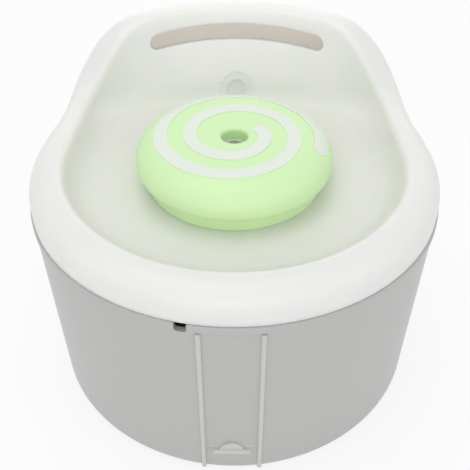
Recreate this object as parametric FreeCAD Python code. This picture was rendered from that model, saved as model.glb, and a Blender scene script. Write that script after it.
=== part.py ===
import FreeCAD, Part
import math
import os

os.makedirs("parts", exist_ok=True)

# Pet water fountain: a tank, a drip tray with a raised hood over it, a round spout cap with
# a white spiral, a drop-in filter and a submersible pump. Millimetres, +Z up, -Y is the front.
# Every piece is drawn about the axis of the basin and moved once, on export, so that the
# origin lies under the middle of the whole fountain.

# Plan of the tray and the tank
rim_radius = 95.0
rear_reach = 112.0
side_inset = 3.0
side_lean = 5.0
corner_radius = 62.0
rear_radius = 105.0
side_blend = 40.0

# Heights of the tray
rim_level = 102.5
rim_height = 15.2
hood_height = 44.5
tray_wall = 2.2

# Section of the rim and the basin
rim_crown = 12.6
crown_narrow = 3.5
crown_widen = 4.4
rim_roll = 10.0
roll_narrow = 3.2
roll_widen = 1.5
basin_roll = 4.2
basin_round = 14.0
basin_level = 2.5
side_draft = 4.0
hood_lean = 28.0
crest_start = 45.0
crest_end = 98.0
floor_overlap = 1.0
narrow_start = 10.0
narrow_end = 42.0
widen_start = 48.0
widen_end = 85.0
least_bowl = 1.2
hood_steps = (2, 1, 1, 5, 3)
nudge = 0.01

# Hand slot in the hood, bowed down a little at its ends
slot_length = 92.0
slot_bow = 1.5
slot_height = 7.6
slot_level = 33.8
slot_front = 60.0
slot_rear = 130.0
slot_reach = 6.6

# Arched niche at the hood's foot: half width, height and depth of its two steps
niche_steps = ((10.0, 15.0, 0.5), (5.4, 11.1, 1.0))
niche_clear = 0.5
niche_spread = 0.14

# Tank
tank_wall = 2.5
tank_floor = 2.5
tank_taper = 2.6
tank_round = 5.0
tank_collar = 0.7
collar_height = 3.4
tank_gap = 0.3
lip_round = 0.7
skirt_drop = 7.0
skirt_wall = 2.0
skirt_clearance = 0.4
window_width = 23.4
window_bead = 2.3
window_inset = 0.8
window_low = 18.5
bead_proud = 0.5
bead_low = 3.7
bar_length = 17.0
bar_height = 3.0
bar_proud = 0.7
dome_radius = 5.6
dome_depth = 2.0
notch_width = 5.0
notch_depth = 5.0
notch_round = 1.5
notch_offset = -19.6
notch_spare = 2.0

# Feet
foot_radius = 6.0
foot_height = 1.5
foot_recess = 0.8
foot_edge = 0.4
foot_x = 55.0
foot_front = -58.0
foot_rear = 62.0

# Spout cap with its spiral
cap_radius = 45.8
cap_flat = 31.0
cap_top = 22.6
cap_belt = 11.9
cap_foot_radius = 41.0
cap_foot_height = 7.0
cap_wall = 2.0
cap_bore = 6.0
mouth_round = 1.76
cap_collar = 12.0
base_wall = 1.8
ledge_level = 3.0
ledge_height = 2.0
ledge_tuck = 0.5
spiral_start = 13.55
spiral_pitch = 13.72
spiral_width = 6.4
spiral_first = -0.06
spiral_last = 2.035
spiral_tuck = 1.9
tuck_start = 1.7
spiral_proud = 0.35
spiral_sink = 1.0
spiral_steps = 8
drain_count = 5
drain_width = 6.0
drain_height = 2.6
drain_spread = 120.0

# Riser between pump and cap
riser_radius = 5.9
riser_bore = 4.7
riser_sink = 6.0
seal_radius = 6.9
seal_height = 5.0
plug_clearance = 0.1

# Filter
filter_opening = 36.0
cup_clearance = 0.4
cup_flange = 38.6
cup_flange_height = 1.4
cup_depth = 22.0
cup_wall = 1.4
cup_tube_bore = 7.2
cartridge_gap = 0.5
cartridge_wall = 1.2
cartridge_height = 16.0
grille_height = 1.4
grille_slots = 16
grille_slot_width = 2.4
cotton_height = 3.6
soft_gap = 0.3

# Pump
pump_width = 40.0
pump_height = 44.0
pump_front = -10.0
pump_rear = 36.0
pump_round = 5.0
pump_axis = 27.0
cup_height = 5.0
chamber_radius = 13.0
chamber_depth = 13.0
cover_radius = 15.8
cover_height = 2.0
fit_gap = 0.2
well_radius = 8.2
well_depth = 23.9
well_wall = 1.6
stub_radius = 9.0
stub_bore = 7.0
stub_height = 9.0
rotor_radius = 7.6
rotor_length = 20.9
rotor_gap = 0.5
hub_radius = 4.5
blade_reach = 11.6
blade_wall = 1.6
blade_count = 6
blade_width = 8.0
disc_wall = 1.6
eye_radius = 2.7
eye_reach = 6.2
eye_count = 3
shaft_radius = 1.25
shaft_clearance = 0.05
shaft_sink = 0.3
shaft_spare = 0.7
bush_radius = 2.6
bush_length = 2.4
bush_grip = 0.02
bush_back = 0.6
ring_section = 0.7
ring_radius = 14.4
pocket_side = 16.5
pocket_low = 3.0
pocket_high = 40.0
potting_depth = 5.0
core_side = 15.6
core_leg = 5.4
core_low = 7.1
core_yoke = 5.3
core_high = 35.0
core_front = 13.0
core_rear = 27.0
coil_side = 9.4
coil_pad = 3.5
coil_round = 2.0
coil_gap = 0.15
strainer_depth = 16.0
strainer_wall = 1.6
strainer_slots = 7
strainer_slot = 2.2
strainer_edge = 2.0
strainer_margin = 6.0
foam_gap = 0.6
suction_radius = 7.0
suction_neck = 3.0
suction_x = 12.5
suction_front = -1.0
suction_rear = 27.0
suction_lip = 0.8
suction_cove = 1.6
gland_radius = 4.2
gland_length = 12.0
gland_tip = 3.0
gland_bore = 1.8
gland_rim = 1.2
gland_flange = 1.6
gland_x = 11.0
gland_drop = 11.0

# Sizes and levels that follow from the sizes above
side_reach = rim_radius - side_inset
tank_bottom = foot_height - foot_recess
tank_inside = tank_bottom + tank_floor
basin_floor = rim_level + basin_level
cap_floor = basin_floor
cap_crown = cap_floor + cap_top
pump_base = tank_inside + cup_height
axis_level = pump_base + pump_axis
stub_top = pump_base + pump_height + stub_height
riser_low = stub_top - seal_height - 1.0
riser_high = cap_crown - riser_sink
cup_floor = basin_floor - cup_depth
cup_radius = filter_opening - cup_clearance
cartridge_low = cup_floor + cup_wall
cartridge_radius = cup_radius - cup_wall - cartridge_gap
tube_radius = cup_tube_bore + cup_wall
sleeve_bore = tube_radius + cartridge_gap
centre_shift = (rim_radius - rear_reach) / 2


def vec(x, y, z=0.0):
    return FreeCAD.Vector(x, y, z)


def export(name, shape):
    moved = shape.copy()
    moved.translate(vec(0, centre_shift, 0))
    moved.exportStep("parts/" + name + ".step")


def group(solids):
    return Part.makeCompound(solids)


def ring(outer, inner, low, high):
    body = Part.makeCylinder(outer, high - low, vec(0, 0, low))
    return body.cut(Part.makeCylinder(inner, high - low + 2, vec(0, 0, low - 1)))


def rod_y(radius, front, rear, x, z):
    return Part.makeCylinder(radius, rear - front, vec(x, front, z), vec(0, 1, 0))


def block(x0, x1, y0, y1, z0, z1):
    return Part.makeBox(x1 - x0, y1 - y0, z1 - z0, vec(x0, y0, z0))


def revolve(points):
    outline = Part.makePolygon([vec(r, 0, z) for r, z in points + points[:1]])
    return Part.Face(outline).revolve(vec(0, 0, 0), vec(0, 0, 1), 360)


# A blend from 0 to 1 as a length passes from one value to another.
def ease(value, start, end):
    share = min(1.0, max(0.0, (value - start) / (end - start)))
    return share * share * (3 - 2 * share)


# The right half of the plan: a round front, a concave blend, a side that leans in, a round
# corner and a bowed rear. Each run is a centre with two angles, or two ends of a line.
def plan_runs():
    tilt = math.radians(side_lean)
    normal = (math.cos(tilt), math.sin(tilt))
    along = (-normal[1], normal[0])
    reach = math.sqrt((rim_radius + side_blend) ** 2 - (side_reach + side_blend) ** 2)
    outside = [normal[i] * (side_reach + side_blend) + along[i] * reach for i in (0, 1)]
    meet = math.atan2(outside[1], outside[0])
    rear_centre = [0.0, rear_reach - rear_radius]
    inset = [normal[i] * (side_reach - corner_radius) for i in (0, 1)]
    gap = [inset[i] - rear_centre[i] for i in (0, 1)]
    drift = gap[0] * along[0] + gap[1] * along[1]
    spare = gap[0] ** 2 + gap[1] ** 2 - (rear_radius - corner_radius) ** 2
    travel = -drift + math.sqrt(drift ** 2 - spare)
    centre = [inset[i] + along[i] * travel for i in (0, 1)]
    turn = math.atan2(centre[1] - rear_centre[1], centre[0] - rear_centre[0])
    return {
        "front": ([0.0, 0.0], rim_radius, 0.0, meet),
        "blend": (outside, -side_blend, meet, tilt),
        "corner": (centre, corner_radius, tilt, turn),
        "rear": (rear_centre, rear_radius, turn, math.pi / 2),
    }


# A station is a point of the plan and the way the outside faces there.
def station_on(run, angle):
    centre, radius = run[0], run[1]
    return centre[0] + radius * math.cos(angle), centre[1] + radius * math.sin(angle), angle


def run_length(run):
    return run[1] * (run[3] - run[2])


def side_length(runs):
    start = station_on(runs["blend"], runs["blend"][3])
    end = station_on(runs["corner"], runs["corner"][2])
    return math.hypot(end[0] - start[0], end[1] - start[1])


# The station at a distance along the plan from the middle of the right side to the rear.
def plan_at(travel):
    runs = plan_runs()
    for name in ("front", "blend"):
        if travel <= run_length(runs[name]):
            return station_on(runs[name], runs[name][2] + travel / runs[name][1])
        travel -= run_length(runs[name])
    x, y, angle = station_on(runs["blend"], runs["blend"][3])
    if travel <= side_length(runs):
        return x - travel * math.sin(angle), y + travel * math.cos(angle), angle
    travel -= side_length(runs)
    if travel <= run_length(runs["corner"]):
        return station_on(runs["corner"], runs["corner"][2] + travel / runs["corner"][1])
    travel -= run_length(runs["corner"])
    return station_on(runs["rear"], runs["rear"][2] + travel / runs["rear"][1])


# Distances at which the hood's section is set out, a few to each run.
def hood_marks():
    runs = plan_runs()
    lengths = [run_length(runs["front"]), run_length(runs["blend"]), side_length(runs),
               run_length(runs["corner"]), run_length(runs["rear"])]
    marks = [0.0]
    for length, count in zip(lengths, hood_steps):
        marks += [marks[-1] + length * step / count for step in range(1, count + 1)]
    return marks


def inward(station, reach, z):
    x, y, angle = station
    return vec(x - reach * math.cos(angle), y - reach * math.sin(angle), z)


def turned(wire, run, start, end):
    centre = vec(run[0][0], run[0][1])
    face = Part.Face(wire(station_on(run, start)))
    return face.revolve(centre, vec(0, 0, 1), math.degrees(end - start))


# A wall of one section round the whole plan: turned at each arc, drawn along each side.
def even_wall(wire):
    runs = plan_runs()
    parts = []
    for name in ("blend", "corner"):
        parts.append(turned(wire, runs[name], *runs[name][2:]))
    start = station_on(runs["blend"], runs["blend"][3])
    end = station_on(runs["corner"], runs["corner"][2])
    parts.append(Part.Face(wire(start)).extrude(vec(end[0] - start[0], end[1] - start[1])))
    parts += [part.mirror(vec(0, 0, 0), vec(1, 0, 0)) for part in parts]
    meet = runs["front"][3]
    parts.append(turned(wire, runs["front"], -math.pi - meet, meet))
    turn = runs["rear"][2]
    parts.append(turned(wire, runs["rear"], turn, math.pi - turn))
    return parts[0].fuse(parts[1:]).removeSplitter()


def line(start, end):
    return Part.LineSegment(start, end).toShape()


def arc(start, middle, end):
    return Part.Arc(start, middle, end).toShape()


# A flat plate whose edge lies a given reach inside the plan.
def plate(reach, low, high):
    runs = plan_runs()

    def bow(run, start, end):
        return arc(*[inward(station_on(run, angle), reach, low) for angle in (start, (start + end) / 2, end)])

    edges = [bow(runs[name], *runs[name][2:]) for name in ("blend", "corner")]
    start = station_on(runs["blend"], runs["blend"][3])
    end = station_on(runs["corner"], runs["corner"][2])
    edges.append(line(inward(start, reach, low), inward(end, reach, low)))
    edges += [edge.mirror(vec(0, 0, 0), vec(1, 0, 0)) for edge in edges]
    meet = runs["front"][3]
    turn = runs["rear"][2]
    edges += [bow(runs["front"], -math.pi - meet, meet), bow(runs["rear"], turn, math.pi - turn)]
    return Part.Face(Part.Wire(Part.sortEdges(edges)[0])).extrude(vec(0, 0, high - low))


# What the tray's section measures at one place of the plan.
def section_sizes(y, angle):
    narrow = ease(y, narrow_start, narrow_end)
    widen = ease(y, widen_start, widen_end)
    height = rim_height + (hood_height - rim_height) * ease(y, crest_start, crest_end)
    crown = rim_crown - crown_narrow * narrow + crown_widen * widen
    roll = rim_roll - roll_narrow * narrow + roll_widen * widen
    lean = side_draft + (hood_lean - side_draft) * max(0.0, math.sin(angle)) ** 2
    share = (height - basin_level - least_bowl) / (basin_roll + basin_round)
    slope = math.acos(max(0.0, 1 - share))
    return height, crown, roll, min(math.radians(90 - lean), slope)


# A stroke is a straight or round part of a section: two or four Bezier poles, each an inward
# reach and a height over the rim's low edge.
def round_stroke(x, z, radius, start, end):
    pull = math.tan((end - start) / 4) * 4 / 3

    def pole(angle, lead):
        across = math.cos(angle) - lead * math.sin(angle)
        return x + radius * across, z + radius * (math.sin(angle) + lead * math.cos(angle))

    return [pole(start, 0.0), pole(start, pull), pole(end, -pull), pole(end, 0.0)]


# Strokes of the skin at a depth in the wall: up the side, over the rim and down to the basin.
def skin_strokes(sizes, depth):
    height, crown, roll, slope = sizes
    top = height - depth
    low = basin_level - depth
    inner = basin_roll - depth
    bowl = basin_round + depth
    shoulder = round_stroke(roll, height - roll, roll - depth, math.pi, math.pi / 2)
    edge = round_stroke(crown, top - inner, inner, math.pi / 2, math.pi / 2 - slope)
    length = (height - basin_level - (basin_roll + basin_round) * (1 - math.cos(slope))) / math.sin(slope)
    foot = (edge[3][0] + length * math.cos(slope), edge[3][1] - length * math.sin(slope))
    middle = foot[0] + bowl * math.sin(slope)
    cove = round_stroke(middle, low + bowl, bowl, 1.5 * math.pi - slope, 1.5 * math.pi)
    return [[(depth, 0.0), shoulder[0]], shoulder, [shoulder[3], edge[0]], edge, [edge[3], foot],
            cove, [cove[3], (middle + floor_overlap, low)]]


# The whole section: the outer skin, the inner skin and the skirt under the rim between them.
def tray_strokes(station):
    x, y, angle = station
    sizes = section_sizes(y, angle)
    outside = skin_strokes(sizes, 0.0)
    inside = skin_strokes(sizes, tray_wall)
    near = tank_wall + skirt_clearance
    far = near + skirt_wall
    under = [(0.0, 0.0), (near, 0.0), (near, -skirt_drop), (far, -skirt_drop),
             (far, tray_wall), (tray_wall, tray_wall)]
    inside[0][0] = under[-1]
    strokes = outside + inside + [list(pair) for pair in zip(under, under[1:])]
    return [[inward(station, reach, rim_level + height) for reach, height in stroke] for stroke in strokes]


# A row is the path of one pole along the hood. It passes every mark in the direction that the
# sections take there, so that it runs on from the front rim without a crease.
def hood_row(places, slopes, marks):
    poles = [places[0]]
    for index in range(len(marks) - 1):
        step = (marks[index + 1] - marks[index]) / 3
        poles += [places[index] + slopes[index] * step, places[index + 1] - slopes[index + 1] * step]
    return poles + [places[-1]]


def hood_rows(stroke, marks):
    rows = []
    for pole in range(len(tray_strokes(plan_at(0.0))[stroke])):
        before, places, after = [[tray_strokes(plan_at(mark + shift))[stroke][pole] for mark in marks]
                                 for shift in (-nudge, 0.0, nudge)]
        slopes = [(far - near) * (0.5 / nudge) for near, far in zip(before, after)]
        rows.append(hood_row(places, slopes, marks))
    return rows


def row_mults(marks):
    return [4] + [2] * (len(marks) - 2) + [4]


def hood_face(rows, marks):
    count = len(rows)
    face = Part.BSplineSurface()
    face.buildFromPolesMultsKnots(rows, [count, count], row_mults(marks), [0.0, 1.0], marks,
                                  False, False, count - 1, 3)
    return face.toShape()


def row_edge(row, marks):
    curve = Part.BSplineCurve()
    curve.buildFromPolesMultsKnots(row, row_mults(marks), marks, False, 3)
    return curve.toShape()


def stroke_edge(poles):
    if len(poles) == 2:
        return line(poles[0], poles[1])
    curve = Part.BezierCurve()
    curve.setPoles(poles)
    return curve.toShape()


# The front rim is one section turned half round. The hood's rows run on from it, and the skin
# is closed over the basin by two flat faces.
def tray_body():
    marks = hood_marks()
    section = tray_strokes(plan_at(0.0))
    rows = [hood_rows(stroke, marks) for stroke in range(len(section))]
    skin = [hood_face(stroke, marks) for stroke in rows]
    skin += [face.mirror(vec(0, 0, 0), vec(1, 0, 0)) for face in skin]
    for poles in section:
        skin.append(stroke_edge(poles).revolve(vec(0, 0, 0), vec(0, 0, 1), -180))
    for stroke in (6, 13):
        side = row_edge(rows[stroke][-1], marks)
        start = section[stroke][-1]
        front = arc(vec(-start.x, 0, start.z), vec(0, -start.x, start.z), start)
        skin.append(Part.Face(Part.Wire([front, side, side.mirror(vec(0, 0, 0), vec(1, 0, 0))])))
    shell = Part.makeShell(skin)
    shell.sewShape()
    body = Part.makeSolid(shell)
    if body.Volume < 0:
        body.reverse()
    return body


# Two stepped arches pressed into the hood's foot, behind the cap
def niche_cut(half, rise, depth):
    run = plan_runs()["rear"]
    station = station_on(run, math.pi / 2 - niche_spread)
    sizes = section_sizes(rear_reach, math.pi / 2)
    near, far = [skin_strokes(sizes, level)[3:6] for level in (-niche_clear, depth)]
    edges = [[stroke_edge([inward(station, reach, rim_level + height) for reach, height in stroke])
              for stroke in strokes] for strokes in (near, far)]
    caps = [line(edges[0][index].Vertexes[index].Point, edges[1][index].Vertexes[index].Point)
            for index in (0, -1)]
    wire = Part.Wire(Part.sortEdges(edges[0] + edges[1] + caps)[0])
    band = Part.Face(wire).revolve(vec(run[0][0], run[0][1]), vec(0, 0, 1), math.degrees(2 * niche_spread))
    shoulder = rim_level + rise - half
    arch = block(-half, half, 0, slot_rear, rim_level - 1, shoulder)
    arch = arch.fuse(rod_y(half, 0, slot_rear, 0, shoulder)).removeSplitter()
    return band.common(arch)


def slot_prism():
    half = slot_height / 2
    reach = slot_length / 2 - half
    middle = rim_level + slot_level
    ends = middle - slot_bow

    def place(x, z):
        return vec(x, slot_front, z)

    wire = Part.Wire([
        arc(place(-reach, ends + half), place(0, middle + half), place(reach, ends + half)),
        arc(place(reach, ends + half), place(reach + half, ends), place(reach, ends - half)),
        arc(place(reach, ends - half), place(0, middle - half), place(-reach, ends - half)),
        arc(place(-reach, ends - half), place(-reach - half, ends), place(-reach, ends + half)),
    ])
    solid = Part.Face(wire).extrude(vec(0, slot_rear - slot_front, 0))
    return solid.common(plate(slot_reach, middle - 2 * slot_height, middle + 2 * slot_height))


def notch_cut(rear):
    half = notch_width / 2
    low = rim_level - notch_depth
    notch = block(notch_offset - half, notch_offset + half, -120, rear, low, rim_level)
    corners = [e for e in notch.Edges if e.CenterOfMass.z < low + 0.01 and e.BoundBox.YLength > 1]
    return notch.makeFillet(notch_round, corners)


def make_tray():
    tray = tray_body()
    tray = tray.cut(Part.makeCylinder(filter_opening, 40, vec(0, 0, basin_floor - 20)))
    tray = tray.fuse(ring(filter_opening + tray_wall, filter_opening, basin_floor - 8, basin_floor - 1))
    tray = tray.cut(slot_prism())
    for half, rise, depth in niche_steps:
        tray = tray.cut(niche_cut(half, rise, depth))
    half = notch_width / 2 + notch_spare
    gap = block(notch_offset - half, notch_offset + half, -100, -70, rim_level - skirt_drop - 1, rim_level)
    return tray.cut(gap)


# Tank: a thin wall that tapers to a rounded foot, with a collar round its mouth
def tank_top():
    return rim_level - tank_gap


def tank_section(station):
    top = tank_top()
    half = 1 - math.sqrt(0.5)

    def place(reach, z):
        return inward(station, reach, z)

    foot = tank_taper
    rounds = []
    for wall, floor in ((0.0, 0.0), (tank_wall, tank_floor)):
        size = tank_round - wall * 0.5
        rounds.append([
            place(foot + wall, tank_bottom + floor + size),
            place(foot + wall + size * half, tank_bottom + floor + size * half),
            place(foot + wall + size, tank_bottom + floor),
        ])
    inner_floor = place(foot + tank_round + tank_wall + floor_overlap, tank_bottom + tank_floor)
    outer_floor = place(foot + tank_round + tank_wall + floor_overlap, tank_bottom)
    collar = [
        place(-tank_collar + lip_round, top),
        place(-tank_collar + lip_round * half, top - lip_round * half),
        place(-tank_collar, top - lip_round),
        place(-tank_collar, top - collar_height),
        place(0.0, top - collar_height - tank_collar),
    ]
    mouth = place(tank_wall, top)
    return Part.Wire([
        arc(collar[0], collar[1], collar[2]),
        line(collar[2], collar[3]),
        line(collar[3], collar[4]),
        line(collar[4], rounds[0][0]),
        arc(*rounds[0]),
        line(rounds[0][2], outer_floor),
        line(outer_floor, inner_floor),
        line(inner_floor, rounds[1][2]),
        arc(rounds[1][2], rounds[1][1], rounds[1][0]),
        line(rounds[1][0], mouth),
        line(mouth, collar[0]),
    ])


# Front of the wall at a height: it leans in towards the foot.
def wall_front(z):
    span = tank_top() - collar_height - tank_collar - (tank_bottom + tank_round)
    return -rim_radius + tank_taper * (tank_top() - collar_height - tank_collar - z) / span


def leaning_prism(width, low, high, out, back):
    corners = [vec(-width / 2, wall_front(low) - out, low), vec(-width / 2, wall_front(high) - out, high),
               vec(-width / 2, wall_front(high) + back, high), vec(-width / 2, wall_front(low) + back, low)]
    return Part.Face(Part.makePolygon(corners + corners[:1])).extrude(vec(width, 0, 0))


def window_bead_rod(x, low, high):
    start = vec(x, wall_front(low) + window_bead / 2 - bead_proud, low)
    end = vec(x, wall_front(high) + window_bead / 2 - bead_proud, high)
    return Part.makeCylinder(window_bead / 2, (end - start).Length, start, end - start)


def make_tank():
    tank = even_wall(tank_section)
    reach = tank_taper + tank_round + tank_wall + floor_overlap / 2
    tank = tank.fuse(plate(reach, tank_bottom, tank_bottom + tank_floor)).removeSplitter()
    high = tank_top() - collar_height - tank_collar
    tank = tank.cut(leaning_prism(window_width, window_low, high, 5.0, window_inset))
    for side in (-1, 1):
        bead = window_bead_rod(side * (window_width + window_bead) / 2, bead_low, high)
        tank = tank.fuse(bead)
    tank = tank.fuse(leaning_prism(bar_length, window_low - bar_height, window_low, bar_proud, window_inset))
    front = wall_front(window_low)
    dome = rod_y(dome_radius, front - bar_proud / 2, front + dome_depth, 0, window_low - 1)
    dome = dome.common(block(-dome_radius, dome_radius, front - 1, 0, window_low - 1, window_low + dome_radius))
    tank = tank.fuse(dome)
    for x, y in foot_places():
        tank = tank.cut(Part.makeCylinder(foot_radius + plug_clearance, foot_recess, vec(x, y, tank_bottom)))
    return tank.cut(notch_cut(-80))


def foot_places():
    return [(side * foot_x, y) for y in (foot_front, foot_rear) for side in (-1, 1)]


def make_feet():
    feet = []
    for x, y in foot_places():
        foot = Part.makeCylinder(foot_radius, foot_height, vec(x, y, 0))
        feet.append(foot.makeChamfer(foot_edge, [e for e in foot.Edges if e.CenterOfMass.z < 0.01]))
    return group(feet)


# Spout cap: a flat crown, an elliptical shoulder and a rolled-in foot
def cap_outline(grow):
    crown = cap_crown + grow
    belt = cap_floor + cap_belt
    foot = cap_floor + cap_foot_height
    upper = []
    for step in range(4):
        angle = math.radians(30 * step)
        upper.append(vec(cap_flat + (cap_radius + grow - cap_flat) * math.sin(angle), 0,
                         belt + (crown - belt) * math.cos(angle)))
    lower = []
    for step in range(3):
        angle = math.radians(30 * step)
        lower.append(vec(cap_foot_radius + grow + (cap_radius - cap_foot_radius) * math.cos(angle), 0,
                         belt - (belt - foot) / math.sin(math.radians(60)) * math.sin(angle)))
    curve = Part.BSplineCurve()
    curve.interpolate(Points=upper + lower[1:], InitialTangent=vec(10, 0, 0), FinalTangent=vec(-2, 0, -2))
    return crown, foot, curve, upper[0], lower[-1]


def cap_solid(grow):
    crown, foot, curve, start, end = cap_outline(grow)
    middle = vec(0, 0, crown)
    base = vec(0, 0, end.z)
    edges = [line(base, middle), line(middle, start), curve.toShape(), line(end, base)]
    return Part.Face(Part.Wire(edges)).revolve(vec(0, 0, 0), vec(0, 0, 1), 360)


# Spiral band, seen from above: it opens clockwise by one pitch a turn.
def spiral_point(turn, side):
    angle = 2 * math.pi * turn
    radius = spiral_start + spiral_pitch * turn - spiral_tuck * ease(turn, tuck_start, spiral_last)
    slope = spiral_pitch / (2 * math.pi)
    along = vec(slope * math.cos(angle) - radius * math.sin(angle),
                -slope * math.sin(angle) - radius * math.cos(angle))
    along.normalize()
    out = vec(-along.y, along.x)
    return vec(radius * math.cos(angle), -radius * math.sin(angle)) + out * side, along


def spiral_prism():
    half = spiral_width / 2
    count = int((spiral_last - spiral_first) * spiral_steps)
    sides = []
    for side in (-half, half):
        points = []
        for step in range(count + 1):
            turn = spiral_first + (spiral_last - spiral_first) * step / count
            points.append(spiral_point(turn, side)[0])
        curve = Part.BSplineCurve()
        curve.interpolate(Points=points)
        sides.append((curve.toShape(), points))
    ends = []
    for turn, way, index in ((spiral_first, -1, 0), (spiral_last, 1, -1)):
        centre, along = spiral_point(turn, 0.0)
        ends.append(arc(sides[0][1][index], centre + along * (way * half), sides[1][1][index]))
    wire = Part.Wire(Part.sortEdges([sides[0][0], ends[1], sides[1][0], ends[0]])[0])
    prism = Part.Face(wire).extrude(vec(0, 0, 60))
    prism.translate(vec(0, 0, cap_floor + cap_belt))
    return prism


def make_cap():
    cap = cap_solid(0.0).cut(cap_solid(-cap_wall))
    collar = ring(cap_bore + cap_wall, cap_bore, cap_crown - cap_collar, cap_crown - cap_wall / 2)
    cap = cap.fuse(collar).cut(Part.makeCylinder(cap_bore, 60, vec(0, 0, cap_floor)))
    mouth = [e for e in cap.Edges if abs(e.CenterOfMass.z - cap_crown) < 0.01 and e.BoundBox.XLength < 3 * cap_bore]
    cap = cap.makeFillet(mouth_round, mouth)
    groove = spiral_prism().cut(cap_solid(-spiral_sink))
    return cap.cut(groove)


def make_inlay():
    return spiral_prism().common(cap_solid(spiral_proud)).cut(cap_solid(-spiral_sink))


def make_cap_base():
    inner = cap_foot_radius - base_wall
    spigot = cap_foot_radius - cap_wall - fit_gap
    base = ring(cap_foot_radius, inner, cap_floor, cap_floor + cap_foot_height)
    low = cap_floor + ledge_level
    base = base.fuse(ring(inner + ledge_tuck, spigot - base_wall, low, low + ledge_height))
    base = base.fuse(ring(spigot, spigot - base_wall, low, low + cap_foot_height))
    for step in range(drain_count):
        turn = 90 - drain_spread / 2 + drain_spread * step / (drain_count - 1)
        cut = block(inner - 3, cap_foot_radius + 3, -drain_width / 2, drain_width / 2,
                    cap_floor - 1, cap_floor + drain_height)
        cut.rotate(vec(0, 0, 0), vec(0, 0, 1), turn)
        base = base.cut(cut)
    return base


def make_riser():
    return ring(riser_radius, riser_bore, riser_low, riser_high)


def make_riser_seal():
    return ring(seal_radius, riser_radius + 0.05, riser_low, riser_low + seal_height)


# Filter: a cup that drops into the tray, with a cartridge round its tube
def make_filter_cup():
    cup = ring(cup_radius, cup_radius - cup_wall, cup_floor, basin_floor + 0.5)
    cup = cup.fuse(ring(cup_flange, cup_radius - cup_wall, basin_floor, basin_floor + cup_flange_height))
    cup = cup.fuse(ring(cup_radius - 0.5, cup_tube_bore, cup_floor, cup_floor + cup_wall))
    cup = cup.fuse(ring(tube_radius, cup_tube_bore, cup_floor, basin_floor))
    return cup.cut(radial_slots(tube_radius + 3, cup_radius - 4, cup_floor - 1, cup_floor + 3))


def radial_slots(inner, outer, low, high):
    slots = []
    for step in range(grille_slots):
        slot = block(inner, outer, -grille_slot_width / 2, grille_slot_width / 2, low, high)
        slot.rotate(vec(0, 0, 0), vec(0, 0, 1), 360.0 * step / grille_slots)
        slots.append(slot)
    return slots


def make_filter_shell():
    high = cartridge_low + cartridge_height
    shell = ring(cartridge_radius, cartridge_radius - cartridge_wall, cartridge_low, high)
    shell = shell.fuse(ring(sleeve_bore + cartridge_wall, sleeve_bore, cartridge_low, high))
    shell = shell.fuse(ring(cartridge_radius - 0.5, sleeve_bore, cartridge_low, cartridge_low + cartridge_wall))
    slots = radial_slots(sleeve_bore + 3, cartridge_radius - 3, cartridge_low - 1, cartridge_low + 3)
    return shell.cut(slots)


def make_filter_grille():
    low = cartridge_low + cartridge_height
    grille = ring(cartridge_radius, sleeve_bore, low, low + grille_height)
    return grille.cut(radial_slots(sleeve_bore + 3, cartridge_radius - 3, low - 1, low + 3))


def filter_fill(low, high):
    return ring(cartridge_radius - cartridge_wall - soft_gap, sleeve_bore + cartridge_wall + soft_gap, low, high)


def make_filter_carbon():
    low = cartridge_low + cartridge_wall
    return filter_fill(low, cartridge_low + cartridge_height - cotton_height - soft_gap)


def make_filter_cotton():
    high = cartridge_low + cartridge_height
    return filter_fill(high - cotton_height, high)


# Pump: an open-fronted body with a potted stator behind and a rotor in its well
def make_pump_housing():
    half = pump_width / 2
    body = block(-half, half, pump_front, pump_rear, pump_base, pump_base + pump_height)
    body = body.makeFillet(pump_round, [e for e in body.Edges if abs(e.tangentAt(e.FirstParameter).y) > 0.9])
    body = body.fuse(Part.makeCylinder(stub_radius, stub_height + 2, vec(0, 0, stub_top - stub_height - 2)))
    recess = pump_front + cover_height
    body = body.cut(rod_y(cover_radius + fit_gap, pump_front - 1, recess, 0, axis_level))
    body = body.cut(rod_y(chamber_radius, recess - 1, recess + chamber_depth, 0, axis_level))
    body = body.cut(Part.makeCylinder(stub_bore, 60, vec(0, 0, axis_level)))
    pocket = block(-pocket_side, pocket_side, recess + chamber_depth + 2, pump_rear + 1,
                   pump_base + pocket_low, pump_base + pocket_high)
    tube_end = recess + chamber_depth + well_depth
    tube = rod_y(well_radius + well_wall, recess + chamber_depth + 1, tube_end + well_wall, 0, axis_level)
    body = body.cut(pocket.cut(tube))
    body = body.cut(rod_y(well_radius, recess + chamber_depth - 1, tube_end, 0, axis_level))
    groove = rod_y(ring_radius + ring_section + 0.15, recess - 1, recess + 2 * ring_section - 0.1, 0, axis_level)
    groove = groove.cut(rod_y(ring_radius - ring_section - 0.15, recess - 2, recess + 5, 0, axis_level))
    return body.cut(groove)


def well_end():
    return pump_front + cover_height + chamber_depth + well_depth


def make_pump_back():
    low = pump_base + pocket_low
    high = pump_base + pocket_high
    back = block(-pocket_side, pocket_side, pump_rear - potting_depth, pump_rear, low, high)
    socket = rod_y(gland_radius + fit_gap / 2, pump_rear - potting_depth - 1, pump_rear + 1, gland_x, gland_z())
    return back.cut(socket)


def gland_z():
    return pump_base + pump_height - gland_drop


def make_core():
    low = pump_base + core_low
    core = block(-core_side, core_side, core_front, core_rear, low, low + core_yoke)
    for side in (-1, 1):
        x0 = min(side * core_side, side * (core_side - core_leg))
        core = core.fuse(block(x0, x0 + core_leg, core_front, core_rear, low, pump_base + core_high))
    return core.removeSplitter()


def make_coil():
    low = pump_base + core_low
    coil = block(-coil_side, coil_side, core_front - coil_pad, core_rear + coil_pad,
                 low - coil_pad, low + core_yoke + coil_pad)
    coil = coil.makeFillet(coil_round, [e for e in coil.Edges if abs(e.tangentAt(e.FirstParameter).x) > 0.9])
    return coil.cut(block(-30, 30, core_front - coil_gap, core_rear + coil_gap,
                          low - coil_gap, low + core_yoke + coil_gap))


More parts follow.
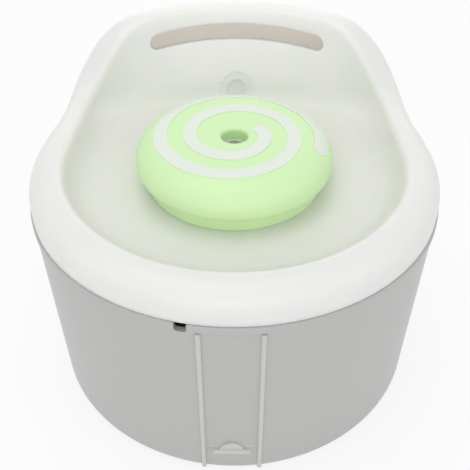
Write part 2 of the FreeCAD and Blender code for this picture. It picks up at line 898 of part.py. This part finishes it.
# Where the impeller's disc meets the magnet, just clear of the chamber's floor
def disc_rear():
    return pump_front + cover_height + chamber_depth - rotor_gap


def make_magnet():
    front = disc_rear()
    magnet = rod_y(rotor_radius, front, front + rotor_length, 0, axis_level)
    return magnet.cut(rod_y(shaft_radius + shaft_clearance, front - 1, front + rotor_length + 1, 0, axis_level))


def make_impeller():
    rear = disc_rear()
    front = rear - blade_width - disc_wall
    body = rod_y(hub_radius, front, rear, 0, axis_level)
    body = body.fuse(rod_y(blade_reach, rear - disc_wall, rear, 0, axis_level))
    for step in range(blade_count):
        blade = block(0, blade_reach - 0.2, front + 0.6, rear - 1, -blade_wall / 2, blade_wall / 2)
        blade.rotate(vec(0, 0, 0), vec(0, 1, 0), 360.0 * step / blade_count)
        blade.translate(vec(0, 0, axis_level))
        body = body.fuse(blade)
    return body.cut(rod_y(shaft_radius + shaft_clearance, front - 1, rear + 1, 0, axis_level))


def make_shaft():
    return rod_y(shaft_radius, pump_front + cover_height + shaft_sink, well_end() - shaft_spare, 0, axis_level)


def bush(front, rear, hole_front, hole_rear):
    body = rod_y(bush_radius, front, rear, 0, axis_level)
    return body.cut(rod_y(shaft_radius + bush_grip, hole_front, hole_rear, 0, axis_level))


def make_bushes():
    front = pump_front + cover_height
    rear = well_end()
    return group([
        bush(front, front + bush_length, front - 1, front + bush_length + 1),
        bush(rear - bush_length - bush_back, rear, rear - bush_length - 1, rear - bush_back),
    ])


def make_volute_cover():
    cover = rod_y(cover_radius, pump_front, pump_front + cover_height, 0, axis_level)
    for step in range(eye_count):
        hole = rod_y(eye_radius, pump_front - 1, pump_front + cover_height + 1, eye_reach, 0)
        hole.rotate(vec(0, 0, 0), vec(0, 1, 0), 360.0 * (step + 0.25) / eye_count)
        hole.translate(vec(0, 0, axis_level))
        cover = cover.cut(hole)
    return cover


def make_volute_seal():
    size = ring_section - 0.05
    front = pump_front + cover_height
    seal = rod_y(ring_radius + size, front, front + 2 * size, 0, axis_level)
    return seal.cut(rod_y(ring_radius - size, front - 1, front + 3, 0, axis_level))


def make_strainer():
    half = pump_width / 2
    rear = pump_front
    front = rear - strainer_depth
    low = pump_base
    high = pump_base + pump_height
    box = block(-half, half, front, rear, low, high)
    box = box.makeFillet(pump_round, [e for e in box.Edges if abs(e.tangentAt(e.FirstParameter).y) > 0.9])
    front_edges = [e for e in box.Edges if e.BoundBox.YMax < front + 0.01]
    box = box.makeFillet(strainer_edge, front_edges)
    wall = strainer_wall
    space = block(-half + wall, half - wall, front + wall, rear + 1, low + wall, high - wall)
    space = space.makeFillet(pump_round - wall, [e for e in space.Edges if abs(e.tangentAt(e.FirstParameter).y) > 0.9])
    box = box.cut(space)
    pitch = (pump_height - 2 * strainer_margin) / strainer_slots
    for step in range(strainer_slots):
        z = low + strainer_margin + pitch * (step + 0.5)
        slot = block(-half + strainer_margin, half - strainer_margin, front - 1, front + wall + 1,
                     z - strainer_slot / 2, z + strainer_slot / 2)
        box = box.cut(slot)
    return box


def make_foam():
    half = pump_width / 2 - strainer_wall - foam_gap
    front = pump_front - strainer_depth + strainer_wall + foam_gap
    low = pump_base + strainer_wall + foam_gap
    high = pump_base + pump_height - strainer_wall - foam_gap
    foam = block(-half, half, front, pump_front - foam_gap, low, high)
    return foam.makeFillet(pump_round - strainer_wall, [e for e in foam.Edges
                                                        if abs(e.tangentAt(e.FirstParameter).y) > 0.9])


def make_suction_cups():
    profile = [
        (0.0, tank_inside + suction_cove),
        (suction_radius - suction_cove, tank_inside),
        (suction_radius, tank_inside),
        (suction_radius, tank_inside + suction_lip),
        (suction_neck, tank_inside + cup_height - suction_cove),
        (suction_neck, pump_base),
        (0.0, pump_base),
    ]
    cups = []
    for side in (-1, 1):
        for y in (suction_front, suction_rear):
            cup = revolve(profile)
            cup.translate(vec(side * suction_x, y, 0))
            cups.append(cup)
    return group(cups)


def make_gland():
    z = gland_z()
    plug = rod_y(gland_radius, pump_rear - potting_depth + 0.2, pump_rear, gland_x, z)
    flange = rod_y(gland_radius + gland_rim, pump_rear, pump_rear + gland_flange, gland_x, z)
    root = vec(gland_x, pump_rear + gland_flange, z)
    taper = Part.makeCone(gland_radius, gland_tip, gland_length - gland_flange, root, vec(0, 1, 0))
    gland = plug.fuse([flange, taper])
    return gland.cut(rod_y(gland_bore, pump_rear - potting_depth - 1, pump_rear + gland_length + 1, gland_x, z))


def main():
    pieces = {
        "tank": make_tank,
        "tank_feet": make_feet,
        "tray": make_tray,
        "swirl_cap": make_cap,
        "swirl_inlay": make_inlay,
        "cap_base": make_cap_base,
        "riser_tube": make_riser,
        "riser_seal": make_riser_seal,
        "filter_cup": make_filter_cup,
        "filter_shell": make_filter_shell,
        "filter_grille": make_filter_grille,
        "filter_carbon": make_filter_carbon,
        "filter_cotton": make_filter_cotton,
        "pump_housing": make_pump_housing,
        "pump_back": make_pump_back,
        "stator_core": make_core,
        "stator_coil": make_coil,
        "rotor_magnet": make_magnet,
        "impeller": make_impeller,
        "rotor_shaft": make_shaft,
        "shaft_bushes": make_bushes,
        "volute_cover": make_volute_cover,
        "volute_seal": make_volute_seal,
        "pump_strainer": make_strainer,
        "prefilter_foam": make_foam,
        "suction_cups": make_suction_cups,
        "cord_gland": make_gland,
    }
    for name, make in pieces.items():
        shape = make()
        print(name, shape.isValid(), len(shape.Solids), round(shape.Volume))
        export(name, shape)


main()
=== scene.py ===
import math

import bmesh
import bpy
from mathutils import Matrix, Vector, noise


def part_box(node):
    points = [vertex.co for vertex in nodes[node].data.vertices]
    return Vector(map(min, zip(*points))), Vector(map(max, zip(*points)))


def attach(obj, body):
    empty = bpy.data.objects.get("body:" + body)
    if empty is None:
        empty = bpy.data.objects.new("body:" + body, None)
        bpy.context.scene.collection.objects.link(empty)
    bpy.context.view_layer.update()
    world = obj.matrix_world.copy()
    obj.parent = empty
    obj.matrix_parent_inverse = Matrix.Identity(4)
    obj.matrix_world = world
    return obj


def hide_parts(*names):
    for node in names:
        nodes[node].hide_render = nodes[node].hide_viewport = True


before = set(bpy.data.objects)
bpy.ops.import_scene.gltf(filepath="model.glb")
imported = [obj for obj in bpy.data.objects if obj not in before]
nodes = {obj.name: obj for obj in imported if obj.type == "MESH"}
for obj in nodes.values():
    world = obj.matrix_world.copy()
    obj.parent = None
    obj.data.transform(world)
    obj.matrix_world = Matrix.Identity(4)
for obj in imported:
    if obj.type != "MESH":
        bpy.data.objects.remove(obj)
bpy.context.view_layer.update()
scene = bpy.context.scene
scene.view_settings.view_transform = "Standard"

# Camera: it stands on the drinking side, a little above the hood, and looks down at the
# front of the basin. The tank's mouth gives the height that it aims at.
mouth_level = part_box("tank")[1].z
camera_pitch = math.radians(40.3)
camera_turn = math.radians(0.8)
camera_distance = 0.3139
camera_target = Vector((0.0008, -0.0495, mouth_level + 0.0003))
camera_back = Vector((
    math.sin(camera_turn) * math.cos(camera_pitch),
    -math.cos(camera_turn) * math.cos(camera_pitch),
    math.sin(camera_pitch),
))
camera_data = bpy.data.cameras.new("photo_camera")
camera_data.lens = 55.25
camera_data.sensor_width = 36.0
camera_data.clip_start = 0.01
camera = bpy.data.objects.new("photo_camera", camera_data)
scene.collection.objects.link(camera)
camera.location = camera_target + camera_back * camera_distance
camera.rotation_euler = camera_back.to_track_quat("Z", "Y").to_euler()
scene.camera = camera


# Studio sky: an even, dim white dome that lights the fountain from all round. The camera
# and reflections see it as plain white.
def join(tree, source, target):
    tree.links.new(source, target)


def backdrop_rays(tree):
    path = tree.nodes.new("ShaderNodeLightPath")
    seen = path.outputs["Is Camera Ray"]
    for kind in ("Is Glossy Ray", "Is Transmission Ray"):
        either = tree.nodes.new("ShaderNodeMath")
        either.operation = "MAXIMUM"
        join(tree, seen, either.inputs[0])
        join(tree, path.outputs[kind], either.inputs[1])
        seen = either.outputs["Value"]
    return seen


world = bpy.data.worlds.new("studio_sky")
scene.world = world
world.use_nodes = True
sky = world.node_tree
sky.nodes.clear()
sky_dim = sky.nodes.new("ShaderNodeBackground")
sky_dim.inputs["Color"].default_value = (1.0, 1.0, 1.0, 1.0)
sky_dim.inputs["Strength"].default_value = 0.58
sky_seen = sky.nodes.new("ShaderNodeBackground")
sky_seen.inputs["Color"].default_value = (1.0, 1.0, 1.0, 1.0)
sky_seen.inputs["Strength"].default_value = 1.0
sky_mix = sky.nodes.new("ShaderNodeMixShader")
sky_out = sky.nodes.new("ShaderNodeOutputWorld")
join(sky, backdrop_rays(sky), sky_mix.inputs["Fac"])
join(sky, sky_dim.outputs["Background"], sky_mix.inputs[1])
join(sky, sky_seen.outputs["Background"], sky_mix.inputs[2])
join(sky, sky_mix.outputs["Shader"], sky_out.inputs["Surface"])

# Studio floor: a pale seamless sheet of matt paper. It reads as white and keeps a faint
# shadow under the tank.
floor_reach = 3.0
floor_whiteness = 0.8
floor_mesh = bpy.data.meshes.new("studio_floor")
floor_form = bmesh.new()
bmesh.ops.create_grid(floor_form, x_segments=1, y_segments=1, size=floor_reach)
floor_form.to_mesh(floor_mesh)
floor_form.free()
floor = bpy.data.objects.new("studio_floor", floor_mesh)
scene.collection.objects.link(floor)
floor_paint = bpy.data.materials.new("studio_floor")
floor_paint.use_nodes = True
floor_tree = floor_paint.node_tree
floor_sheet = floor_tree.nodes["Principled BSDF"]
floor_sheet.inputs["Base Color"].default_value = (0.93, 0.93, 0.93, 1.0)
floor_sheet.inputs["Roughness"].default_value = 0.9
floor_white = floor_tree.nodes.new("ShaderNodeEmission")
floor_white.inputs["Color"].default_value = (1.0, 1.0, 1.0, 1.0)
floor_share = floor_tree.nodes.new("ShaderNodeMath")
floor_share.operation = "MULTIPLY"
floor_share.inputs[1].default_value = floor_whiteness
floor_mix = floor_tree.nodes.new("ShaderNodeMixShader")
join(floor_tree, backdrop_rays(floor_tree), floor_share.inputs[0])
join(floor_tree, floor_share.outputs["Value"], floor_mix.inputs["Fac"])
join(floor_tree, floor_sheet.outputs["BSDF"], floor_mix.inputs[1])
join(floor_tree, floor_white.outputs["Emission"], floor_mix.inputs[2])
join(floor_tree, floor_mix.outputs["Shader"], floor_tree.nodes["Material Output"].inputs["Surface"])
floor_mesh.materials.append(floor_paint)


# Studio lamps: cloth soft boxes above, in front, low in front, at both sides and behind,
# each aimed at the tray or the tank.
def soft_box(name, place, aim, width, height, power):
    data = bpy.data.lights.new(name, "AREA")
    data.shape = "RECTANGLE"
    data.size = width
    data.size_y = height
    data.energy = power
    lamp = bpy.data.objects.new(name, data)
    scene.collection.objects.link(lamp)
    lamp.location = place
    lamp.rotation_euler = (Vector(place) - Vector(aim)).to_track_quat("Z", "Y").to_euler()


soft_box("top_box", (-0.15, 0.1, 1.15), (0.0, 0.0, 0.12), 1.0, 0.8, 3.5)
soft_box("front_box", (0.1, -1.25, 0.85), (0.0, 0.0, 0.08), 1.3, 0.9, 3.6)
soft_box("low_box", (-0.1, -1.2, 0.3), (0.0, 0.0, 0.05), 1.3, 0.45, 1.7)
soft_box("left_box", (-0.95, -0.55, 0.75), (0.0, 0.0, 0.1), 0.6, 0.6, 0.6)
soft_box("right_box", (0.95, -0.45, 0.75), (0.0, 0.0, 0.1), 0.6, 0.6, 1.0)
soft_box("back_box", (0.0, 1.2, 0.5), (0.0, 0.0, 0.1), 1.2, 0.7, 2.2)


# Tank: one frosted polypropylene moulding that holds the water and carries the tray on its
# mouth. Its gloss varies a little where the tool was blasted, and its edges look paler.
def new_paint(name):
    paint = bpy.data.materials.new(name)
    paint.use_nodes = True
    return paint, paint.node_tree, paint.node_tree.nodes["Principled BSDF"]


def object_place(tree, stretch=(1.0, 1.0, 1.0)):
    place = tree.nodes.new("ShaderNodeTexCoord")
    scaled = tree.nodes.new("ShaderNodeMapping")
    scaled.inputs["Scale"].default_value = stretch
    join(tree, place.outputs["Object"], scaled.inputs["Vector"])
    return scaled.outputs["Vector"]


def cloud(tree, scale, detail=2.0, stretch=(1.0, 1.0, 1.0)):
    texture = tree.nodes.new("ShaderNodeTexNoise")
    texture.inputs["Scale"].default_value = scale
    texture.inputs["Detail"].default_value = detail
    join(tree, object_place(tree, stretch), texture.inputs["Vector"])
    return texture.outputs["Fac"]


def spread(tree, source, low, high):
    ramp = tree.nodes.new("ShaderNodeMapRange")
    ramp.inputs["To Min"].default_value = low
    ramp.inputs["To Max"].default_value = high
    join(tree, source, ramp.inputs["Value"])
    return ramp.outputs["Result"]


def tint(tree, factor, dark, light):
    mix = tree.nodes.new("ShaderNodeMix")
    mix.data_type = "RGBA"
    mix.inputs["A"].default_value = (*dark, 1.0)
    mix.inputs["B"].default_value = (*light, 1.0)
    join(tree, factor, mix.inputs["Factor"])
    return mix.outputs["Result"]


def relief(tree, shader, source, strength, depth):
    bump = tree.nodes.new("ShaderNodeBump")
    bump.inputs["Strength"].default_value = strength
    bump.inputs["Distance"].default_value = depth
    join(tree, source, bump.inputs["Height"])
    join(tree, bump.outputs["Normal"], shader.inputs["Normal"])


skin_drift = 38.0
skin_grain = 1100.0
skin_depth = 0.0004
soak_reach = (1.0, 0.8, 0.6)
weld_reach = 0.00001


def shade(colour, share):
    return tuple(channel * share for channel in colour)


def moulded(name, colour, roughness, skin=0.02, gloss=0.5, soak=0.0, soak_depth=0.004):
    paint, tree, shader = new_paint(name)
    drift = cloud(tree, skin_drift, 3.0)
    join(tree, tint(tree, drift, shade(colour, 0.98), colour), shader.inputs["Base Color"])
    join(tree, spread(tree, drift, roughness - 0.04, roughness + 0.04), shader.inputs["Roughness"])
    relief(tree, shader, cloud(tree, skin_grain), skin, skin_depth)
    shader.inputs["Specular IOR Level"].default_value = gloss
    shader.inputs["Subsurface Weight"].default_value = soak
    shader.inputs["Subsurface Scale"].default_value = soak_depth
    shader.inputs["Subsurface Radius"].default_value = soak_reach
    return paint


def dress(name, paint, crease=32.0):
    part = nodes[name]
    part.data.shade_smooth()
    for slot in part.material_slots:
        slot.material = paint
    weld = part.modifiers.new("weld", "WELD")
    weld.merge_threshold = weld_reach
    split = part.modifiers.new("crease", "EDGE_SPLIT")
    split.use_edge_angle = True
    split.use_edge_sharp = False
    split.split_angle = math.radians(crease)


tank_grey = (0.462, 0.468, 0.456)
tank_paint = moulded("satin_tank", tank_grey, 0.42, skin=0.03, gloss=0.45)
tank_shader = tank_paint.node_tree.nodes["Principled BSDF"]
tank_shader.inputs["Sheen Weight"].default_value = 0.12
tank_shader.inputs["Sheen Roughness"].default_value = 0.4
dress("tank", tank_paint)

# The tank's beads, bar and dome are part of the same moulding. They are thicker than its
# wall, and their grey is painted paler, as painted light for the light that gathers in them.
# Painted light: the paler grey below stands for light gathering in the thick plastic.
bead_painted_light = (0.56, 0.565, 0.54)
bead_light_paint = moulded("tank_bead_painted_light", bead_painted_light, 0.36, skin=0.02, gloss=0.5)
bead_reach = (0.0108, 0.0146)
bead_proud = 0.00012
bar_reach = 0.0092
bar_low = 0.0148
bar_high = 0.0245
bar_slack = 0.0006
wall_slack = 0.003
collar_drop = 0.004
rim_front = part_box("tray")[0].y
wall_foot = 0.0057
wall_top = mouth_level - 0.0043
wall_lean = 0.0026
front_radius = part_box("tray")[1].x
tank_part = nodes["tank"]
tank_part.data.materials.append(bead_light_paint)


def wall_front(z):
    share = min(1.0, max(0.0, (wall_top - z) / (wall_top - wall_foot)))
    return rim_front + wall_lean * share


def stands_proud(face):
    spot = face.center
    wall = wall_front(spot.z)
    bow = spot.x ** 2 / (2 * front_radius)
    if spot.y > wall + wall_slack or spot.z > mouth_level - collar_drop:
        return False
    if bead_reach[0] < abs(spot.x) < bead_reach[1]:
        return spot.y < wall + bow - bead_proud
    within = abs(spot.x) < bar_reach and bar_low < spot.z < bar_high
    return within and spot.y < wall + bow + bar_slack


# Faces that stand proud get the paler painted-light grey.
for face in tank_part.data.polygons:
    if stands_proud(face):
        face.material_index = 1

# Tank feet: four pads of soft grey rubber, matt and faintly grained from their mould. They
# are pressed into round seats in the tank's floor.
foot_grey = (0.55, 0.55, 0.54)
dress("tank_feet", moulded("foot_rubber", foot_grey, 0.65, skin=0.12, gloss=0.25))

# Pump housing, chamber cover and strainer: black satin mouldings. The cover presses into
# the housing's front, and the strainer snaps on over it.
pump_black = (0.02, 0.02, 0.022)
pump_paint = moulded("pump_black", pump_black, 0.42, skin=0.06)
for piece in ("pump_housing", "volute_cover", "pump_strainer"):
    dress(piece, pump_paint)

# Potting: black casting resin, glossy with a slow ripple. It is poured into the motor's
# pocket from behind and seals the stator in.
resin_black = (0.012, 0.012, 0.013)
dress("pump_back", moulded("potting_resin", resin_black, 0.18, skin=0.01, gloss=0.6))


# Stator core: a stack of thin stamped steel sheets, whose edges show as fine lines. Its two
# legs stand on either side of the rotor's well.
def bands(tree, scale, direction):
    texture = tree.nodes.new("ShaderNodeTexWave")
    texture.bands_direction = direction
    texture.inputs["Scale"].default_value = scale
    texture.inputs["Distortion"].default_value = 0.2
    join(tree, object_place(tree), texture.inputs["Vector"])
    return texture.outputs["Fac"]


def metal(name, colour, roughness, line_scale, direction):
    paint, tree, shader = new_paint(name)
    lines = bands(tree, line_scale, direction)
    join(tree, tint(tree, lines, shade(colour, 0.55), colour), shader.inputs["Base Color"])
    join(tree, spread(tree, lines, roughness + 0.15, roughness), shader.inputs["Roughness"])
    relief(tree, shader, lines, 0.4, 0.0003)
    shader.inputs["Metallic"].default_value = 1.0
    return paint


core_steel = (0.50, 0.50, 0.51)
dress("stator_core", metal("core_steel", core_steel, 0.3, 620.0, "Y"))

# Stator coil: enamelled copper wire, wound in close turns round the core's lower bar and
# drowned in the potting with it.
coil_copper = (0.72, 0.32, 0.15)
dress("stator_coil", metal("coil_copper", coil_copper, 0.25, 900.0, "X"))

# Rotor: a sintered ferrite cylinder with a fine dark speckle. It is bonded to the impeller
# and turns with it on the shaft.
ferrite_black = (0.05, 0.05, 0.054)
ferrite, ferrite_tree, ferrite_shader = new_paint("ferrite")
ferrite_grain = cloud(ferrite_tree, 1500.0, 4.0)
ferrite_tone = tint(ferrite_tree, ferrite_grain, shade(ferrite_black, 0.5), shade(ferrite_black, 1.4))
join(ferrite_tree, ferrite_tone, ferrite_shader.inputs["Base Color"])
ferrite_shader.inputs["Roughness"].default_value = 0.45
relief(ferrite_tree, ferrite_shader, ferrite_grain, 0.1, 0.0003)
dress("rotor_magnet", ferrite)

# Impeller: one white moulding of a hub, a disc and six flat blades, pushed on to the
# rotor's front end.
impeller_white = (0.74, 0.74, 0.72)
dress("impeller", moulded("impeller_white", impeller_white, 0.32))

# Shaft: a polished white ceramic pin. It doesn't turn, and a soft bush holds it at either
# end.
ceramic_white = (0.84, 0.84, 0.81)
dress("rotor_shaft", moulded("shaft_ceramic", ceramic_white, 0.14, skin=0.005, gloss=0.6))

# Bushes, chamber seal and riser seal: soft pale silicone mouldings, pushed into their seats
# and held there by their own squeeze.
silicone_pale = (0.68, 0.68, 0.66)
silicone = moulded("soft_silicone", silicone_pale, 0.5, skin=0.05, gloss=0.35)
for piece in ("shaft_bushes", "volute_seal", "riser_seal"):
    dress(piece, silicone)


# Prefilter foam: a block of black open-cell foam, cut with soft corners and squeezed in
# behind the strainer. Its cut faces are pitted by the cells.
def cells(tree, scale, stretch=(1.0, 1.0, 1.0)):
    texture = tree.nodes.new("ShaderNodeTexVoronoi")
    texture.inputs["Scale"].default_value = scale
    join(tree, object_place(tree, stretch), texture.inputs["Vector"])
    return texture.outputs["Distance"]


def finish_piece(name, form, paint, body, node):
    bmesh.ops.recalc_face_normals(form, faces=form.faces)
    mesh = bpy.data.meshes.new(name)
    form.to_mesh(mesh)
    form.free()
    mesh.shade_smooth()
    mesh.materials.append(paint)
    piece = bpy.data.objects.new(name, mesh)
    scene.collection.objects.link(piece)
    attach(piece, body)
    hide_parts(node)
    return piece


def roughen(form, scale, depth):
    form.normal_update()
    moves = []
    for vert in form.verts:
        share = 0.5 + 0.5 * noise.noise(vert.co * scale)
        moves.append((vert, vert.normal * -depth * share))
    for vert, move in moves:
        vert.co += move


foam_round = 0.0032
foam_cuts = 26
foam_cell = 1300.0
foam_pit = 0.0005
# Painted shade: the darker colour inside the foam's cell pits.
foam_pore_painted_shade = (0.008, 0.008, 0.009)
foam_skin_black = (0.06, 0.06, 0.065)
foam_low, foam_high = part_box("prefilter_foam")
foam_form = bmesh.new()
bmesh.ops.create_cube(foam_form, size=1.0)
bmesh.ops.scale(foam_form, vec=foam_high - foam_low, verts=foam_form.verts)
bmesh.ops.translate(foam_form, vec=(foam_low + foam_high) / 2, verts=foam_form.verts)
bmesh.ops.bevel(foam_form, geom=foam_form.edges[:], offset=foam_round, offset_type="OFFSET", segments=3,
                profile=0.5, affect="EDGES", material=-1, clamp_overlap=True)
long_edges = [edge for edge in foam_form.edges if edge.calc_length() > foam_round * 1.5]
bmesh.ops.subdivide_edges(foam_form, edges=long_edges, cuts=foam_cuts, use_grid_fill=True)
roughen(foam_form, foam_cell, foam_pit)
foam_paint, foam_tree, foam_shader = new_paint("foam_black")
foam_pores = cells(foam_tree, 1400.0)
# The cells' pits are painted darker than the skin, as painted shade.
foam_tone = tint(foam_tree, foam_pores, foam_pore_painted_shade, foam_skin_black)
join(foam_tree, foam_tone, foam_shader.inputs["Base Color"])
foam_shader.inputs["Roughness"].default_value = 0.95
relief(foam_tree, foam_shader, foam_pores, 0.8, 0.0006)
foam = finish_piece("foam_block", foam_form, foam_paint, "tank_body", "prefilter_foam")

# Suction cups: clear soft vinyl, a flared lip on a short neck under each corner of the
# pump. They hold it to the tank's floor.
vinyl_clear = (0.74, 0.77, 0.77)
vinyl = moulded("clear_vinyl", vinyl_clear, 0.2, skin=0.02, gloss=0.5, soak=0.3)
vinyl.node_tree.nodes["Principled BSDF"].inputs["Transmission Weight"].default_value = 0.55
dress("suction_cups", vinyl)

# Cord gland: a black rubber moulding of a plug, a flange and a taper, bonded into the
# potting where the cord leaves the pump.
gland_black = (0.02, 0.02, 0.02)
dress("cord_gland", moulded("gland_rubber", gland_black, 0.6, skin=0.12, gloss=0.3))

# Tray: one glossy white injection moulding, thin enough for light to soak through. Its
# basin floor is painted a shade deeper than the rim, as painted shade for the dark tank below.
tray_white = (0.885, 0.857, 0.80)
# Painted shade: the deeper colour of the basin floor.
basin_painted_shade = (0.825, 0.81, 0.735)
basin_shade_reach = (0.078, 0.088)
basin_shade_rise = (0.1075, 0.1165)
basin_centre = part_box("swirl_cap")
basin_middle_y = (basin_centre[0].y + basin_centre[1].y) / 2
tray_paint = moulded("white_moulding", tray_white, 0.34, skin=0.008, gloss=0.42, soak=0.7, soak_depth=0.006)
tray_tree = tray_paint.node_tree
tray_shader = tray_tree.nodes["Principled BSDF"]
tray_place = tray_tree.nodes.new("ShaderNodeTexCoord")
tray_split = tray_tree.nodes.new("ShaderNodeSeparateXYZ")
join(tray_tree, tray_place.outputs["Object"], tray_split.inputs["Vector"])
tray_plan = tray_tree.nodes.new("ShaderNodeCombineXYZ")
tray_shift = tray_tree.nodes.new("ShaderNodeMath")
tray_shift.operation = "SUBTRACT"
tray_shift.inputs[1].default_value = basin_middle_y
join(tray_tree, tray_split.outputs["X"], tray_plan.inputs["X"])
join(tray_tree, tray_split.outputs["Y"], tray_shift.inputs[0])
join(tray_tree, tray_shift.outputs["Value"], tray_plan.inputs["Y"])
tray_radius = tray_tree.nodes.new("ShaderNodeVectorMath")
tray_radius.operation = "LENGTH"
join(tray_tree, tray_plan.outputs["Vector"], tray_radius.inputs[0])


def falloff(tree, source, start, end):
    ramp = tree.nodes.new("ShaderNodeMapRange")
    ramp.interpolation_type = "SMOOTHSTEP"
    ramp.inputs["From Min"].default_value = start
    ramp.inputs["From Max"].default_value = end
    ramp.inputs["To Min"].default_value = 1.0
    ramp.inputs["To Max"].default_value = 0.0
    join(tree, source, ramp.inputs["Value"])
    return ramp.outputs["Result"]


# Painted shade mask: the basin floor inside its rim and below its rise takes the deeper colour.
basin_shade_mask = tray_tree.nodes.new("ShaderNodeMath")
basin_shade_mask.operation = "MULTIPLY"
join(tray_tree, falloff(tray_tree, tray_radius.outputs["Value"], *basin_shade_reach), basin_shade_mask.inputs[0])
join(tray_tree, falloff(tray_tree, tray_split.outputs["Z"], *basin_shade_rise), basin_shade_mask.inputs[1])
tray_tone_with_shade = tint(tray_tree, basin_shade_mask.outputs["Value"], tray_white, basin_painted_shade)
join(tray_tree, tray_tone_with_shade, tray_shader.inputs["Base Color"])
dress("tray", tray_paint)

# Inside the hood's hollow the tray's outer wall glows warmly, because light soaks through it
# from behind.
hollow_paint = moulded("hood_hollow", tray_white, 0.4, skin=0.008, gloss=0.3, soak=1.0, soak_depth=0.022)
hollow_front = 0.078
hollow_low = mouth_level + 0.004
rear_radius = 0.105
hollow_reach = 0.0135
hollow_facing = -0.3
tray_part = nodes["tray"]
tray_part.data.materials.append(hollow_paint)
for face in tray_part.data.polygons:
    spot = face.center
    if spot.y > hollow_front and spot.z > hollow_low and face.normal.y < hollow_facing:
        bow = math.sqrt(max(0.0, rear_radius ** 2 - spot.x ** 2))
        if spot.y - bow > -hollow_reach:
            face.material_index = 1

# Filter cup, shell and grille: thin white polypropylene mouldings. The cup drops into the
# tray's floor, and the shell with its snapped-on grille drops into the cup.
filter_white = (0.78, 0.78, 0.76)
filter_paint = moulded("filter_white", filter_white, 0.36)
for piece in ("filter_cup", "filter_shell", "filter_grille"):
    dress(piece, filter_paint)


# Carbon: loose black grains of crushed coconut shell. They are poured into the cartridge
# round its sleeve.
def annulus(low, high, inner, round_edge, turns):
    middle = (low + high) / 2
    outer = (high.x - low.x) / 2
    form = bmesh.new()
    corners = [
        (inner, low.z), (outer - round_edge, low.z), (outer, low.z + round_edge),
        (outer, high.z - round_edge), (outer - round_edge, high.z), (inner, high.z),
    ]
    ring = [form.verts.new((middle.x + reach, middle.y, z)) for reach, z in corners]
    edges = [form.edges.new((ring[i], ring[(i + 1) % len(ring)])) for i in range(len(ring))]
    bmesh.ops.subdivide_edges(form, edges=edges, cuts=5)
    bmesh.ops.spin(form, geom=form.verts[:] + form.edges[:], cent=(middle.x, middle.y, 0.0), axis=(0, 0, 1),
                   angle=2 * math.pi, steps=turns, use_merge=True, use_duplicate=False)
    bmesh.ops.remove_doubles(form, verts=form.verts, dist=0.000001)
    return form


sleeve_clear = 0.0109
grain_depth = 0.0009
grain_grey = (0.05, 0.05, 0.052)
# Painted shade: the near-black colour of the gaps between the grains.
grain_gap_painted_shade = (0.006, 0.006, 0.007)
carbon_edge = 0.0008
carbon_turns = 180
carbon_low, carbon_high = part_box("filter_carbon")
carbon_form = annulus(carbon_low, carbon_high, sleeve_clear, carbon_edge, carbon_turns)
roughen(carbon_form, 700.0, grain_depth)
carbon_paint, carbon_tree, carbon_shader = new_paint("carbon_grains")
carbon_grain = cells(carbon_tree, 900.0)
# The gaps between the grains are painted near black, as painted shade.
carbon_tone = tint(carbon_tree, carbon_grain, grain_grey, grain_gap_painted_shade)
join(carbon_tree, carbon_tone, carbon_shader.inputs["Base Color"])
join(carbon_tree, spread(carbon_tree, carbon_grain, 0.45, 0.9), carbon_shader.inputs["Roughness"])
relief(carbon_tree, carbon_shader, carbon_grain, 1.0, 0.0008)
finish_piece("carbon_bed", carbon_form, carbon_paint, "filter", "filter_carbon")

# Cotton: a ring of white needled felt, soft at its edges. It lies on the carbon under the
# grille.
cotton_edge = 0.0012
cotton_turns = 160
cotton_nap = 0.0006
felt_grey = (0.70, 0.70, 0.68)
felt_white = (0.88, 0.88, 0.86)
cotton_low, cotton_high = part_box("filter_cotton")
cotton_form = annulus(cotton_low, cotton_high, sleeve_clear, cotton_edge, cotton_turns)
roughen(cotton_form, 260.0, cotton_nap)
cotton_paint, cotton_tree, cotton_shader = new_paint("filter_cotton")
cotton_fibre = cloud(cotton_tree, 900.0, 6.0, (1.0, 1.0, 3.0))
cotton_tone = tint(cotton_tree, cotton_fibre, felt_grey, felt_white)
join(cotton_tree, cotton_tone, cotton_shader.inputs["Base Color"])
cotton_shader.inputs["Roughness"].default_value = 0.95
cotton_shader.inputs["Sheen Weight"].default_value = 0.3
relief(cotton_tree, cotton_shader, cotton_fibre, 0.7, 0.0006)
cotton = finish_piece("cotton_pad", cotton_form, cotton_paint, "filter", "filter_cotton")

# Riser: a white extruded pipe. It stands in the pump's outlet and carries the water up to
# the hole in the cap.
riser_white = (0.75, 0.75, 0.73)
dress("riser_tube", moulded("riser_white", riser_white, 0.3))

# Cap and its base: pale green mouldings with a soft satin skin. The cap presses on to the
# base's spigot, and the base stands on the basin's floor.
cap_green = (0.64, 0.88, 0.485)
green_paint = moulded("pale_green", cap_green, 0.4, skin=0.02, gloss=0.4)
for piece in ("cap_base", "swirl_cap"):
    dress(piece, green_paint)

# Spiral: a band of softer white plastic moulded into the cap's groove. It stands a little
# proud, and the green shows through it.
spiral_white = (0.76, 0.82, 0.735)
dress("swirl_inlay", moulded("spiral_white", spiral_white, 0.42, skin=0.02, gloss=0.4))
